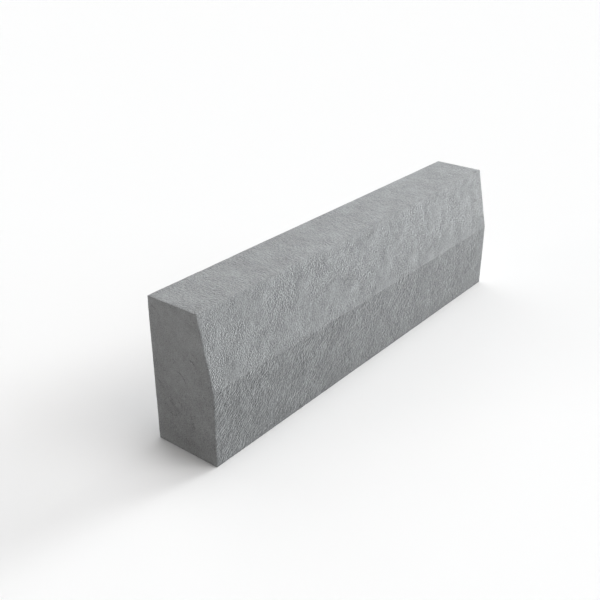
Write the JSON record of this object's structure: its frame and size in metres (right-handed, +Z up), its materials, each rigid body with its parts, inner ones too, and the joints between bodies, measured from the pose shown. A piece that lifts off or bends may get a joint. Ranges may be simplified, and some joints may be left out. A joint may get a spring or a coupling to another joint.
{
  "type": "concrete kerb stone",
  "caption": "Straight concrete kerb stone with a flat top and back and a road face that leans back above mid-height, laid end to end to edge a road.",
  "frame": {"origin": "middle of the base, on the surface that the stone stands on", "axes": "+X along the kerb, +Y towards the footway behind its flat back, +Z up; the leaning road face looks towards -Y"},
  "size_m": [1, 0.15, 0.3],
  "materials": {
    "concrete": "matte"
  },
  "bodies": {
    "root": {"kerb_stone": "concrete"}
  },
  "joints": []
}
